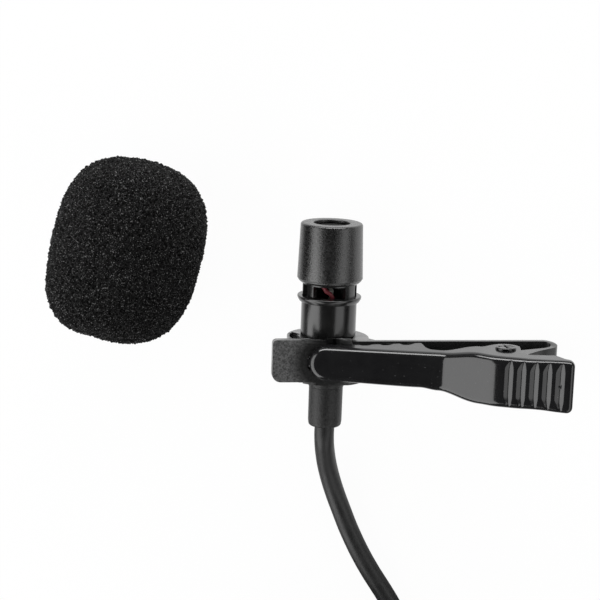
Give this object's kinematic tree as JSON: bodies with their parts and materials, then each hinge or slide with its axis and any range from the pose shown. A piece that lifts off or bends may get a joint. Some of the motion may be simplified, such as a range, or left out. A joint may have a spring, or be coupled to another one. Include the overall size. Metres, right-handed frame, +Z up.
{
  "type": "lavalier microphone",
  "caption": "Small clip-on microphone in a sprung metal clip, with a foam windscreen beside it and a coiled cord that ends in a 3.5 mm plug.",
  "frame": {"origin": "on the surface that everything lies on, under the middle of the microphone, clip and windscreen without the cord", "axes": "+X along the clip towards its finger pad, +Y along the microphone towards its head, +Z up"},
  "size_m": [0.0747, 0.1223, 0.0208],
  "materials": {
    "cap_paint": "fine grained matt black coat",
    "mesh_metal": "woven wire",
    "felt": "pressed felt",
    "can_metal": "drawn aluminium",
    "film": "metallised film",
    "spacer_plastic": "clear sheet",
    "plate_brass": "plain brass",
    "insulator_plastic": "natural plastic",
    "board": "green board with tinned pads",
    "chip": "moulded black",
    "boot_rubber": "soft black rubber",
    "barrel_paint": "semi gloss black coat",
    "red_wire": "red insulation",
    "white_wire": "white insulation",
    "cord_jacket": "smooth black jacket",
    "crimp_metal": "plain crimp",
    "collar_paint": "semi gloss black coat",
    "relief_rubber": "grainy matt rubber",
    "holder_plastic": "grainy dark grey plastic",
    "base_paint": "smooth black coat",
    "lever_paint": "smooth black coat",
    "pin_steel": "blackened steel",
    "spring_steel": "drawn spring wire",
    "foam": "open cell black foam",
    "plug_rubber": "soft black rubber",
    "handle_plastic": "moulded black",
    "contact_gold": "gold plated",
    "band_plastic": "moulded black",
    "tie_fabric": "woven hook and loop strap"
  },
  "bodies": {
    "microphone": {"head_cap": "cap_paint", "top_mesh": "mesh_metal", "dust_felt": "felt", "capsule_can": "can_metal", "capsule_diaphragm": "film", "capsule_spacer": "spacer_plastic", "capsule_backplate": "plate_brass", "capsule_insulator": "insulator_plastic", "capsule_board": "board", "capsule_transistor": "chip", "capsule_boot": "boot_rubber", "barrel": "barrel_paint", "red_wire": "red_wire", "white_wire": "white_wire", "inner_cable": "cord_jacket", "cable_crimp": "crimp_metal", "end_collar": "collar_paint", "strain_relief": "relief_rubber", "cord_run": "cord_jacket", "cord_coil": "cord_jacket", "cord_tail": "cord_jacket", "cord_tie": "tie_fabric", "plug_boot": "plug_rubber", "plug_handle": "handle_plastic", "plug_sleeve": "contact_gold", "plug_ring_2": "contact_gold", "plug_ring_1": "contact_gold", "plug_tip": "contact_gold", "plug_insulator": "band_plastic"},
    "clip": {"mic_holder": "holder_plastic", "clip_base": "base_paint", "clip_spring": "spring_steel"},
    "lever": {"clip_lever": "lever_paint", "clip_pin": "pin_steel"},
    "foam": {"windscreen": "foam"}
  },
  "joints": [
    {"name": "clip_swivel", "type": "hinge", "parent": "microphone", "child": "clip", "pos_m": [0.00225, -0.0081, 0.00565], "axis": [0, -1, 0], "range_deg": [0, 85]},
    {"name": "lever_hinge", "type": "hinge", "parent": "clip", "child": "lever", "pos_m": [0.02695, -0.0081, 0.0095], "axis": [0, 1, 0], "range_deg": [0, 30], "stiffness_Nm_per_rad": 0.03, "springref_deg": -45.84, "deforming": ["clip_spring"]},
    {"name": "windscreen_lift", "type": "slide", "parent": "microphone", "child": "foam", "axis": [0, 0, 1], "range_m": [0, 0.04]}
  ]
}
